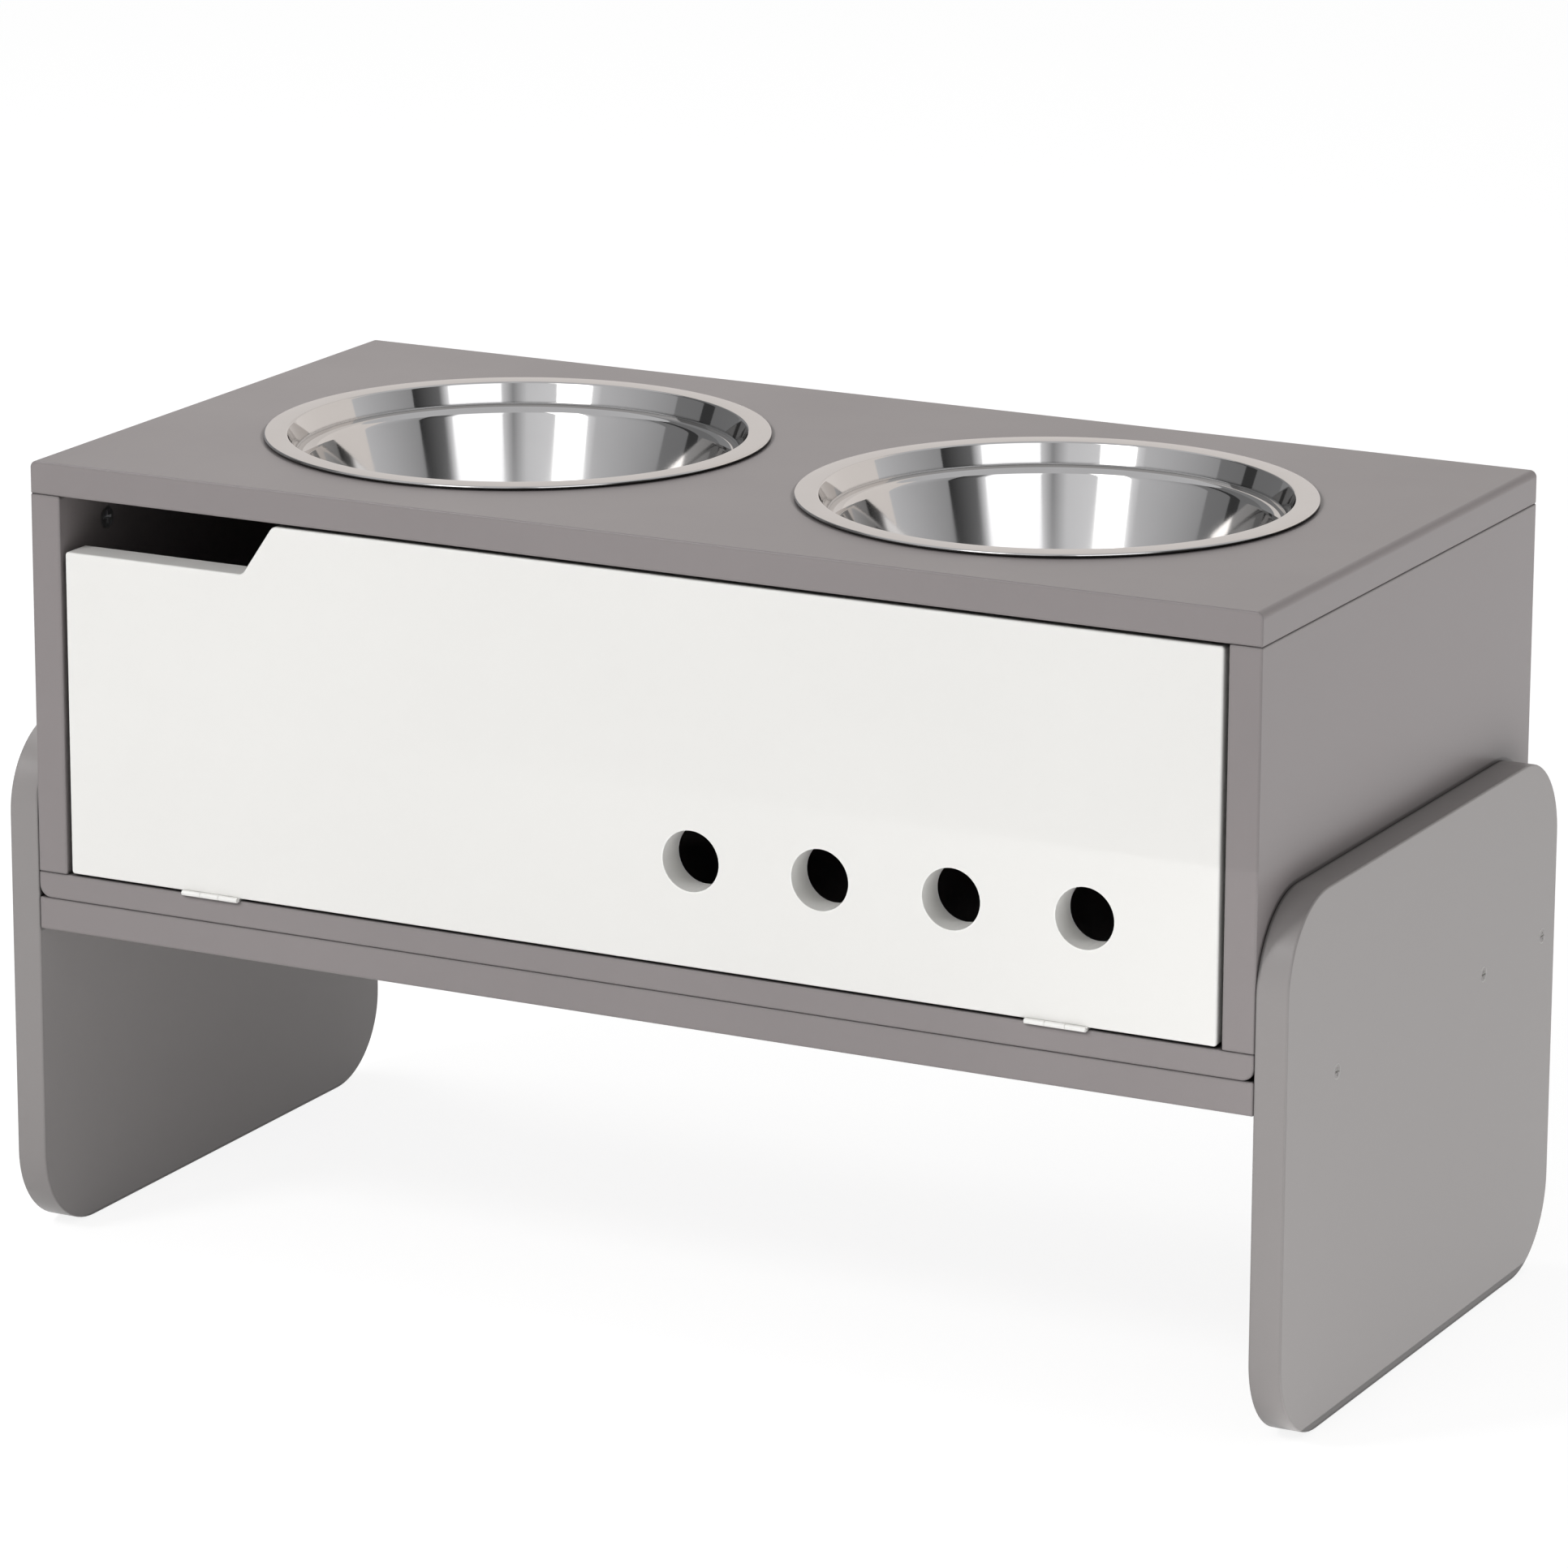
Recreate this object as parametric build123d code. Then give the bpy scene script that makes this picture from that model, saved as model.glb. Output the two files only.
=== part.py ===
from build123d import *
import os
from math import radians, tan

# An elevated feeder for a dog: a cabinet with a drop-down door, carried between two leg
# panels, with two lift-out bowls in its top. Millimetres. X runs across the front from
# left to right, Y from front to back, Z up. The origin is on the floor, under the middle
# of the cabinet.

# --- Boards -------------------------------------------------------------------------------
CABINET_WIDTH = 600.0       # over the outer faces of the side panels
CABINET_DEPTH = 300.0
STORAGE_HEIGHT = 175.0      # clear height between cabinet floor and top panel
UNDER_CLEARANCE = 148.0     # open height under the base board
TOP_THICKNESS = 15.0
SIDE_THICKNESS = 15.0
FLOOR_THICKNESS = 12.0
BASE_THICKNESS = 15.0
BACK_THICKNESS = 3.0
TOP_END_ROUND = 3.2         # rounded upper edges at the left and right of the top panel
FLOOR_END_ROUND = 6.0       # rounded lower edges at the left and right of the floor
ARRIS_ROUND = 0.8           # every other edge of the painted boards

LEG_HEIGHT = 240.0
LEG_THICKNESS = 15.0
LEG_CORNER = 40.0

GROOVE_DEPTH = 5.0          # grooves that hold the back panel
GROOVE_INSET = 8.0          # board left behind the groove
GROOVE_CLEARANCE = 0.1      # on each face of the back panel
GROOVE_END_CLEARANCE = 0.5  # at each edge of the back panel

# --- Door ---------------------------------------------------------------------------------
DOOR_THICKNESS = 15.0
DOOR_SIDE_GAP = 2.5
DOOR_TOP_GAP = 1.6
DOOR_BOTTOM_GAP = 1.0
DOOR_CORNER = 1.5
DOOR_ARRIS = 1.0
NOTCH_LENGTH = 92.0         # level part of the finger notch
NOTCH_DEPTH = 23.4
NOTCH_ANGLE = 56.0          # slope of the notch's inner end, from level
NOTCH_ROUND = 4.0
HOLE_DIAMETER = 27.5
HOLE_COUNT = 4
HOLE_PITCH = 62.5
HOLE_INSET = 61.3           # centre of the last hole to the door's right edge
HOLE_RISE = 47.7            # hole centres above the door's lower edge

# --- Bowls --------------------------------------------------------------------------------
BOWL_INSET = 165.0          # bowl's centre to the outer face of the cabinet
BOWL_SHEET = 0.7
BOWL_THROAT_RADIUS = 104.4  # inner edge of the flat flange
BOWL_FLANGE = 10.6          # width of the flange
BOWL_HEM_WIDTH = 4.0        # sheet folded back under the flange's outer edge
BOWL_HEM_THICKNESS = 1.6
BOWL_SEAT_GAP = 0.3
BOWL_HOLE_CLEARANCE = 1.9   # between the bowl's wall and the cut-out
BOWL_BAND_DROP = 9.6        # height of the tapered band under the flange
BOWL_BAND_TAPER = 3.6
BOWL_STEP_DROP = 1.0        # the stacking step under the band
BOWL_STEP_IN = 5.4
BOWL_STEP_ROUND = 5.0       # rounded inner edge of the step
BOWL_DEPTH = 62.0           # flange top to inside of the base
BOWL_WALL_TAPER = 16.5      # draft of the lower wall
BOWL_BASE_ROUND = 14.0
BOWL_BEND = 1.2             # radius of the sharper bends, on the inner face

# --- Corner fittings of the cabinet -------------------------------------------------------
CAM_DIAMETER = 10.0
CAM_LENGTH = 11.0
CAM_SETBACK = 17.3          # cam centre to the face of the joint
CAM_INSET = 39.3            # from the front and back edges
CAM_SLOT_LENGTH = 6.4
CAM_SLOT_WIDTH = 1.3
CAM_SLOT_DEPTH = 2.2
BOLT_DIAMETER = 4.0
BOLT_HEAD_DIAMETER = 5.2
BOLT_HEAD_LENGTH = 3.0
BOLT_GRIP = 8.5             # length of the bolt in the top panel or cabinet floor
BOLT_CLEARANCE = 0.3
DOWEL_DIAMETER = 6.0
DOWEL_IN_PANEL = 8.0
DOWEL_IN_SIDE = 16.0
DOWEL_END_CLEARANCE = 0.5
DOWEL_INSET = 90.0          # from the front and back edges

# --- Screws -------------------------------------------------------------------------------
LEG_SCREW_HEAD = 7.0
LEG_SCREW_SHANK = 4.0
LEG_SCREW_GRIP = 35.0       # length of the screw in the base board
LEG_SCREW_FRONT_INSET = 53.5
LEG_SCREW_BACK_INSETS = (84.0, 15.0)
BASE_SCREW_HEAD = 7.0
BASE_SCREW_SHANK = 3.5
BASE_SCREW_GRIP = 8.0       # length of the screw in the cabinet floor
BASE_SCREW_END_INSET = 100.0
BASE_SCREW_EDGE_INSET = 60.0
HINGE_SCREW_HEAD = 4.6
HINGE_SCREW_SHANK = 2.4
HINGE_SCREW_LENGTH = 9.0
CATCH_SCREW_HEAD = 5.6
CATCH_SCREW_SHANK = 2.8
CATCH_SCREW_GRIP = 9.0      # length of the screw in the top panel or the door
RECESS_SHARE = 0.6          # cross recess, as a share of the screw's head
RECESS_WIDTH_SHARE = 0.16

# --- Hinges -------------------------------------------------------------------------------
HINGE_INSET = 73.7          # hinge's middle to the door's side edge
HINGE_LENGTH = 28.8
HINGE_LEAF_DEPTH = 12.0     # leaf under the door, from the cabinet's front face
HINGE_LEAF_THICKNESS = 0.8
HINGE_LEAF_GAP = 0.3        # between the two leaves, door shut
HINGE_MORTISE_CLEARANCE = 0.1
KNUCKLE_RADIUS = 1.15
KNUCKLE_CLEARANCE = 0.25    # around and between the knuckles
PIN_RADIUS = 0.55
PIN_RUNNING_FIT = 0.05
HINGE_SCREW_SPACING = 18.0

# --- Magnetic catch -----------------------------------------------------------------------
CATCH_LENGTH = 28.0
CATCH_DEPTH = 14.0
CATCH_HEIGHT = 12.0
CATCH_EAR_LENGTH = 9.0
CATCH_EAR_THICKNESS = 3.0
CATCH_WALL = 2.0
CATCH_AIR_GAP = 0.3         # pole plates to strike plate, door shut
POLE_PROUD = 0.6
POLE_THICKNESS = 1.0
MAGNET_THICKNESS = 4.0
MAGNET_DEPTH = 9.0
STRIKE_LENGTH = 26.0
STRIKE_HEIGHT = 9.0
STRIKE_THICKNESS = 1.2
STRIKE_CORNER = 1.5

# --- Levels and faces that follow from the sizes above ------------------------------------
BASE_BOTTOM = UNDER_CLEARANCE
FLOOR_BOTTOM = BASE_BOTTOM + BASE_THICKNESS
FLOOR_TOP = FLOOR_BOTTOM + FLOOR_THICKNESS
TOP_BOTTOM = FLOOR_TOP + STORAGE_HEIGHT
TOP_TOP = TOP_BOTTOM + TOP_THICKNESS
HALF_WIDTH = CABINET_WIDTH / 2
HALF_STORAGE = HALF_WIDTH - SIDE_THICKNESS
FRONT = -CABINET_DEPTH / 2
BACK = CABINET_DEPTH / 2
SIDE_MIDDLE = HALF_WIDTH - SIDE_THICKNESS / 2

DOOR_BACK = FRONT + DOOR_THICKNESS
DOOR_LEFT = -HALF_STORAGE + DOOR_SIDE_GAP
DOOR_RIGHT = HALF_STORAGE - DOOR_SIDE_GAP
DOOR_BOTTOM = FLOOR_TOP + DOOR_BOTTOM_GAP
DOOR_TOP = TOP_BOTTOM - DOOR_TOP_GAP

BACK_PANEL_BACK = BACK - GROOVE_INSET
BACK_PANEL_FRONT = BACK_PANEL_BACK - BACK_THICKNESS

RIM_TOP = TOP_TOP + BOWL_SEAT_GAP + BOWL_HEM_THICKNESS
BOWL_X = HALF_WIDTH - BOWL_INSET
BOWL_HEM_INNER = BOWL_THROAT_RADIUS + BOWL_FLANGE - BOWL_HEM_WIDTH
BOWL_HOLE_RADIUS = BOWL_THROAT_RADIUS + BOWL_SHEET + BOWL_HOLE_CLEARANCE

HINGE_X = DOOR_RIGHT - HINGE_INSET
HINGE_AXIS_Y = FRONT - KNUCKLE_CLEARANCE - KNUCKLE_RADIUS
HINGE_AXIS_Z = FLOOR_TOP + DOOR_BOTTOM_GAP / 2
HINGE_LEAF_BACK = FRONT + HINGE_LEAF_DEPTH

CATCH_FRONT = DOOR_BACK + STRIKE_THICKNESS + CATCH_AIR_GAP + POLE_PROUD
MAGNET_LEVEL = TOP_BOTTOM - (CATCH_HEIGHT + CATCH_EAR_THICKNESS) / 2

LEG_SCREW_LENGTH = LEG_THICKNESS + LEG_SCREW_GRIP
BASE_SCREW_LENGTH = BASE_THICKNESS + BASE_SCREW_GRIP
CATCH_SCREW_LENGTH = CATCH_EAR_THICKNESS + CATCH_SCREW_GRIP
STRIKE_SCREW_LENGTH = STRIKE_THICKNESS + CATCH_SCREW_GRIP

LEFT, RIGHT = -1, 1
SIDES = (LEFT, RIGHT)
UP = (0, 0, 1)
DOWN = (0, 0, -1)


# --- Basic forms --------------------------------------------------------------------------
def block(x_limits, y_limits, z_limits):
    """A square block between three pairs of limits."""
    spans = (x_limits, y_limits, z_limits)
    size = [high - low for low, high in spans]
    middle = [(high + low) / 2 for low, high in spans]
    return Pos(*middle) * Box(*size)


def facing(point, direction):
    """A work plane at a point, with its own Z along a direction."""
    return Plane(origin=point, z_dir=direction)


def rod(point, direction, radius, length):
    """A cylinder that starts at a point and runs along a direction."""
    base = (Align.CENTER, Align.CENTER, Align.MIN)
    return facing(point, direction) * Cylinder(radius, length, align=base)


def mirrored(limits, side):
    """A pair of X limits on the right, or their mirror image on the left."""
    return tuple(sorted(side * value for value in limits))


def screw_blank(head, shank, length):
    """A countersunk screw without its recess: head at the origin, point along +Z."""
    outline = Polyline(
        (0, 0),
        (head / 2, 0),
        (shank / 2, (head - shank) / 2),
        (shank / 2, length - shank / 2),
        (0, length),
        close=True,
    )
    return revolve(Plane.XZ * make_face(outline), Axis.Z)


def cross_recess(head):
    """The cross-shaped recess in a screw's head."""
    reach = head * RECESS_SHARE
    width = head * RECESS_WIDTH_SHARE
    depth = width
    arm = Box(reach, width, 2 * depth)
    return arm + Rot(0, 0, 90) * arm


def screw(head, shank, length):
    return screw_blank(head, shank, length) - cross_recess(head)


# --- Places where pieces repeat -----------------------------------------------------------
def corner_joints(inset):
    """Each joint of a side panel with the top panel (turn 1) or the cabinet floor (turn -1)."""
    for side in SIDES:
        for y in (FRONT + inset, BACK - inset):
            yield side, y, TOP_BOTTOM, 1
            yield side, y, FLOOR_TOP, -1


def leg_screw_planes(side):
    """The leg screws' heads, in the leg's outer face, pointing into the base board."""
    x = side * (HALF_WIDTH + LEG_THICKNESS)
    z = BASE_BOTTOM + BASE_THICKNESS / 2
    yield facing((x, FRONT + LEG_SCREW_FRONT_INSET, z), (-side, 0, 0))
    for inset in LEG_SCREW_BACK_INSETS:
        yield facing((x, BACK - inset, z), (-side, 0, 0))


def base_screw_planes():
    x = HALF_WIDTH - BASE_SCREW_END_INSET
    for side in SIDES:
        for y in (FRONT + BASE_SCREW_EDGE_INSET, BACK - BASE_SCREW_EDGE_INSET):
            yield facing((side * x, y, BASE_BOTTOM), UP)


def hinge_screw_planes(side, level, direction):
    """Two screws through one leaf, halfway back in the stretch that lies on the board."""
    y = (FRONT + HINGE_LEAF_BACK) / 2
    for x_offset in (-HINGE_SCREW_SPACING / 2, HINGE_SCREW_SPACING / 2):
        yield facing((side * HINGE_X + x_offset, y, level), direction)


def catch_screw_planes():
    x = (CATCH_LENGTH + CATCH_EAR_LENGTH) / 2
    for side in SIDES:
        point = (side * x, CATCH_FRONT + CATCH_DEPTH / 2, TOP_BOTTOM - CATCH_EAR_THICKNESS)
        yield facing(point, UP)


def strike_plane():
    """The strike plate's outer face, looking into the door."""
    point = (0, DOOR_BACK + STRIKE_THICKNESS, MAGNET_LEVEL)
    return Plane(origin=point, x_dir=(1, 0, 0), z_dir=(0, -1, 0))


# --- Corner fittings ----------------------------------------------------------------------
def dowel(side, y, joint, turn, end_clearance=0.0):
    """A dowel across one joint; with an end clearance, the pair of holes it sits in."""
    start = (side * SIDE_MIDDLE, y, joint - turn * (DOWEL_IN_SIDE + end_clearance))
    length = DOWEL_IN_SIDE + DOWEL_IN_PANEL + 2 * end_clearance
    return rod(start, (0, 0, turn), DOWEL_DIAMETER / 2, length)


def dowel_holes():
    return [dowel(*place, DOWEL_END_CLEARANCE) for place in corner_joints(DOWEL_INSET)]


def cam_bolt(side, y, joint, turn):
    """A headed bolt, screwed into the panel, whose head the cam pulls on."""
    cam_centre = joint - turn * CAM_SETBACK
    axis = (0, 0, turn)
    x = side * SIDE_MIDDLE
    shank = rod((x, y, cam_centre), axis, BOLT_DIAMETER / 2, CAM_SETBACK + BOLT_GRIP)
    head_start = (x, y, cam_centre - turn * BOLT_HEAD_LENGTH / 2)
    return shank + rod(head_start, axis, BOLT_HEAD_DIAMETER / 2, BOLT_HEAD_LENGTH)


def bolt_hole_in_panel(side, y, joint, turn):
    return rod((side * SIDE_MIDDLE, y, joint), (0, 0, turn), BOLT_DIAMETER / 2, BOLT_GRIP)


def bolt_hole_in_side(side, y, joint, turn):
    """The wider hole along the side panel, from its edge to the cam."""
    radius = BOLT_HEAD_DIAMETER / 2 + BOLT_CLEARANCE
    start = (side * SIDE_MIDDLE, y, joint)
    return rod(start, (0, 0, -turn), radius, CAM_SETBACK)


def cam_blank(side, y, joint, turn):
    centre = (side * HALF_STORAGE, y, joint - turn * CAM_SETBACK)
    return rod(centre, (side, 0, 0), CAM_DIAMETER / 2, CAM_LENGTH)


def cam_lock(side, y, joint, turn):
    """A cam with a driver slot in its face and a channel, open at its rim, for the bolt."""
    centre = joint - turn * CAM_SETBACK
    reach = BOLT_HEAD_DIAMETER / 2 + BOLT_CLEARANCE
    x_limits = mirrored((SIDE_MIDDLE - reach, SIDE_MIDDLE + reach), side)
    z_start = centre - turn * (BOLT_HEAD_LENGTH / 2 + BOLT_CLEARANCE)
    z_end = centre + turn * CAM_DIAMETER / 2
    channel = block(x_limits, (y - reach, y + reach), sorted((z_start, z_end)))
    slot = Box(CAM_SLOT_LENGTH, CAM_SLOT_WIDTH, 2 * CAM_SLOT_DEPTH)
    cross = slot + Rot(0, 0, 90) * slot
    face = facing((side * HALF_STORAGE, y, centre), (side, 0, 0))
    return cam_blank(side, y, joint, turn) - channel - face * cross


# --- Boards -------------------------------------------------------------------------------
def back_groove_y():
    return (BACK_PANEL_FRONT - GROOVE_CLEARANCE, BACK_PANEL_BACK + GROOVE_CLEARANCE)


def plain_board(x_limits, z_limits):
    """A board of the cabinet's depth with every arris softened."""
    return fillet(block(x_limits, (FRONT, BACK), z_limits).edges(), ARRIS_ROUND)


def round_ended_board(z_limits, rounded_level, end_round):
    """A board of the cabinet's width whose ends are rounded above (-1) or below (0)."""
    board = block((-HALF_WIDTH, HALF_WIDTH), (FRONT, BACK), z_limits)
    board = fillet(board.edges().filter_by(Axis.Y).group_by(Axis.Z)[rounded_level], end_round)
    plain_level = -1 - rounded_level
    outlines = board.faces().filter_by(Axis.Y).edges()
    plain_ends = board.edges().filter_by(Axis.Y).group_by(Axis.Z)[plain_level]
    return fillet(outlines + plain_ends, ARRIS_ROUND)


def top_panel():
    board = round_ended_board((TOP_BOTTOM, TOP_TOP), -1, TOP_END_ROUND)
    for side in SIDES:
        centre = (side * BOWL_X, 0, TOP_BOTTOM)
        board -= rod(centre, UP, BOWL_HOLE_RADIUS, TOP_THICKNESS)
    groove_end = HALF_STORAGE + GROOVE_DEPTH
    groove_z = (TOP_BOTTOM, TOP_BOTTOM + GROOVE_DEPTH)
    board -= block((-groove_end, groove_end), back_groove_y(), groove_z)
    board -= [bolt_hole_in_panel(*place) for place in corner_joints(CAM_INSET)]
    board -= dowel_holes()
    board -= [plane * catch_screw_blank() for plane in catch_screw_planes()]
    return board


def side_panel(side):
    x_limits = mirrored((HALF_STORAGE, HALF_WIDTH), side)
    board = plain_board(x_limits, (FLOOR_TOP, TOP_BOTTOM))
    groove_x = mirrored((HALF_STORAGE, HALF_STORAGE + GROOVE_DEPTH), side)
    board -= block(groove_x, back_groove_y(), (FLOOR_TOP, TOP_BOTTOM))
    for place in corner_joints(CAM_INSET):
        board -= cam_blank(*place)
        board -= bolt_hole_in_side(*place)
    return board - dowel_holes()


def cabinet_floor():
    board = round_ended_board((FLOOR_BOTTOM, FLOOR_TOP), 0, FLOOR_END_ROUND)
    groove_end = HALF_STORAGE + GROOVE_DEPTH
    groove_z = (FLOOR_TOP - GROOVE_DEPTH, FLOOR_TOP)
    board -= block((-groove_end, groove_end), back_groove_y(), groove_z)
    board -= [bolt_hole_in_panel(*place) for place in corner_joints(CAM_INSET)]
    board -= dowel_holes()
    board -= [plane * base_screw_blank() for plane in base_screw_planes()]
    for side in SIDES:
        board -= leaf_mortise(side, *floor_leaf_levels())
        top = floor_leaf_levels()[1]
        board -= [plane * hinge_screw_blank() for plane in hinge_screw_planes(side, top, DOWN)]
    return board


def back_panel():
    half = HALF_STORAGE + GROOVE_DEPTH - GROOVE_END_CLEARANCE
    bottom = FLOOR_TOP - GROOVE_DEPTH + GROOVE_END_CLEARANCE
    top = TOP_BOTTOM + GROOVE_DEPTH - GROOVE_END_CLEARANCE
    return block((-half, half), (BACK_PANEL_FRONT, BACK_PANEL_BACK), (bottom, top))


def base_board():
    board = plain_board((-HALF_WIDTH, HALF_WIDTH), (BASE_BOTTOM, FLOOR_BOTTOM))
    for side in SIDES:
        board -= [plane * leg_screw_blank() for plane in leg_screw_planes(side)]
    board -= [plane * base_screw_blank() for plane in base_screw_planes()]
    return board


def leg(side):
    outline = Pos(0, LEG_HEIGHT / 2) * RectangleRounded(CABINET_DEPTH, LEG_HEIGHT, LEG_CORNER)
    board = extrude(Plane.YZ.offset(HALF_WIDTH) * outline, LEG_THICKNESS)
    board = fillet(board.faces().filter_by(Axis.X).edges(), ARRIS_ROUND)
    if side == LEFT:
        board = mirror(board, Plane.YZ)
    return board - [plane * leg_screw_blank() for plane in leg_screw_planes(side)]


# --- Screws -------------------------------------------------------------------------------
def leg_screw_blank():
    return screw_blank(LEG_SCREW_HEAD, LEG_SCREW_SHANK, LEG_SCREW_LENGTH)


def base_screw_blank():
    return screw_blank(BASE_SCREW_HEAD, BASE_SCREW_SHANK, BASE_SCREW_LENGTH)


def hinge_screw_blank():
    return screw_blank(HINGE_SCREW_HEAD, HINGE_SCREW_SHANK, HINGE_SCREW_LENGTH)


def catch_screw_blank():
    return screw_blank(CATCH_SCREW_HEAD, CATCH_SCREW_SHANK, CATCH_SCREW_LENGTH)


def strike_screw_blank():
    return screw_blank(CATCH_SCREW_HEAD, CATCH_SCREW_SHANK, STRIKE_SCREW_LENGTH)


def leg_screws():
    piece = screw(LEG_SCREW_HEAD, LEG_SCREW_SHANK, LEG_SCREW_LENGTH)
    return [plane * piece for side in SIDES for plane in leg_screw_planes(side)]


def base_screws():
    piece = screw(BASE_SCREW_HEAD, BASE_SCREW_SHANK, BASE_SCREW_LENGTH)
    return [plane * piece for plane in base_screw_planes()]


def hinge_screws(level, direction):
    piece = screw(HINGE_SCREW_HEAD, HINGE_SCREW_SHANK, HINGE_SCREW_LENGTH)
    return [
        plane * piece
        for side in SIDES
        for plane in hinge_screw_planes(side, level, direction)
    ]


def catch_screws():
    piece = screw(CATCH_SCREW_HEAD, CATCH_SCREW_SHANK, CATCH_SCREW_LENGTH)
    return [plane * piece for plane in catch_screw_planes()]


def strike_screw():
    return strike_plane() * screw(CATCH_SCREW_HEAD, CATCH_SCREW_SHANK, STRIKE_SCREW_LENGTH)


# --- Hinges -------------------------------------------------------------------------------
def floor_leaf_levels():
    top = HINGE_AXIS_Z - HINGE_LEAF_GAP / 2
    return top - HINGE_LEAF_THICKNESS, top


def door_leaf_levels():
    bottom = HINGE_AXIS_Z + HINGE_LEAF_GAP / 2
    return bottom, bottom + HINGE_LEAF_THICKNESS


def leaf_mortise(side, bottom, top):
    """The shallow recess in a board's edge or face that one leaf lies in."""
    centre = side * HINGE_X
    reach = HINGE_LENGTH / 2 + HINGE_MORTISE_CLEARANCE
    y_limits = (FRONT, HINGE_LEAF_BACK + HINGE_MORTISE_CLEARANCE)
    return block((centre - reach, centre + reach), y_limits, (bottom, top))


def knuckle_spans():
    """The three knuckles along the pin, as pairs of limits from the hinge's middle."""
    third = HINGE_LENGTH / 3
    starts = (-HINGE_LENGTH / 2, -third / 2, third / 2)
    return [(start, start + third) for start in starts]


def knuckles(side, spans, radius, shortening):
    """Solid barrels on the hinge's axis, each cut short at its inner ends."""
    centre = side * HINGE_X
    barrels = []
    for low, high in spans:
        low = max(low + shortening, -HINGE_LENGTH / 2)
        high = min(high - shortening, HINGE_LENGTH / 2)
        start = (centre + low, HINGE_AXIS_Y, HINGE_AXIS_Z)
        barrels.append(rod(start, (1, 0, 0), radius, high - low))
    return barrels


def hinge_leaf(side, levels, own_spans, other_spans, bore_radius):
    """A leaf with its knuckles, cleared round the other leaf's knuckles."""
    centre = side * HINGE_X
    x_limits = (centre - HINGE_LENGTH / 2, centre + HINGE_LENGTH / 2)
    leaf = block(x_limits, (HINGE_AXIS_Y, HINGE_LEAF_BACK), levels)
    leaf -= knuckles(side, other_spans, KNUCKLE_RADIUS + KNUCKLE_CLEARANCE, 0)
    leaf += knuckles(side, own_spans, KNUCKLE_RADIUS, KNUCKLE_CLEARANCE / 2)
    start = (x_limits[0], HINGE_AXIS_Y, HINGE_AXIS_Z)
    return leaf - rod(start, (1, 0, 0), bore_radius, HINGE_LENGTH)


def floor_leaf(side):
    """The fixed leaf: it carries the two outer knuckles, tight on the pin."""
    first, middle, last = knuckle_spans()
    levels = floor_leaf_levels()
    leaf = hinge_leaf(side, levels, (first, last), (middle,), PIN_RADIUS)
    return leaf - [p * hinge_screw_blank() for p in hinge_screw_planes(side, levels[1], DOWN)]


def door_leaf(side):
    """The moving leaf: its one knuckle turns on the pin."""
    first, middle, last = knuckle_spans()
    levels = door_leaf_levels()
    leaf = hinge_leaf(side, levels, (middle,), (first, last), PIN_RADIUS + PIN_RUNNING_FIT)
    return leaf - [p * hinge_screw_blank() for p in hinge_screw_planes(side, levels[0], UP)]


def hinge_pin(side):
    start = (side * HINGE_X - HINGE_LENGTH / 2, HINGE_AXIS_Y, HINGE_AXIS_Z)
    return rod(start, (1, 0, 0), PIN_RADIUS, HINGE_LENGTH)


# --- Door ---------------------------------------------------------------------------------
def door_outline():
    notch_level = DOOR_TOP - NOTCH_DEPTH
    notch_end = DOOR_LEFT + NOTCH_LENGTH
    notch_top = notch_end + NOTCH_DEPTH / tan(radians(NOTCH_ANGLE))
    corners = (
        (DOOR_LEFT, DOOR_BOTTOM),
        (DOOR_RIGHT, DOOR_BOTTOM),
        (DOOR_RIGHT, DOOR_TOP),
        (notch_top, DOOR_TOP),
        (notch_end, notch_level),
        (DOOR_LEFT, notch_level),
    )
    rounds = (DOOR_CORNER, DOOR_CORNER, DOOR_CORNER, NOTCH_ROUND, NOTCH_ROUND, DOOR_CORNER)
    return FilletPolyline(*corners, radius=rounds, close=True)


def door_panel():
    back_face = Plane.XZ.offset(-DOOR_BACK)
    board = extrude(back_face * make_face(door_outline()), DOOR_THICKNESS)
    board = fillet(board.faces().sort_by(Axis.Y)[0].edges(), DOOR_ARRIS)
    for number in range(HOLE_COUNT):
        x = DOOR_RIGHT - HOLE_INSET - number * HOLE_PITCH
        centre = (x, DOOR_BACK, DOOR_BOTTOM + HOLE_RISE)
        board -= rod(centre, (0, -1, 0), HOLE_DIAMETER / 2, DOOR_THICKNESS)
    bottom = door_leaf_levels()[0]
    for side in SIDES:
        board -= leaf_mortise(side, *door_leaf_levels())
        board -= [plane * hinge_screw_blank() for plane in hinge_screw_planes(side, bottom, UP)]
    return board - strike_plane() * strike_screw_blank()


# --- Magnetic catch -----------------------------------------------------------------------
def magnet_levels():
    return MAGNET_LEVEL - MAGNET_THICKNESS / 2, MAGNET_LEVEL + MAGNET_THICKNESS / 2


def magnet_x():
    half = CATCH_LENGTH / 2 - CATCH_WALL
    return (-half, half)


def catch_magnet():
    return block(magnet_x(), (CATCH_FRONT, CATCH_FRONT + MAGNET_DEPTH), magnet_levels())


def pole_plates():
    low, high = magnet_levels()
    y_limits = (CATCH_FRONT - POLE_PROUD, CATCH_FRONT + MAGNET_DEPTH)
    lower = block(magnet_x(), y_limits, (low - POLE_THICKNESS, low))
    upper = block(magnet_x(), y_limits, (high, high + POLE_THICKNESS))
    return [lower, upper]


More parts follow.
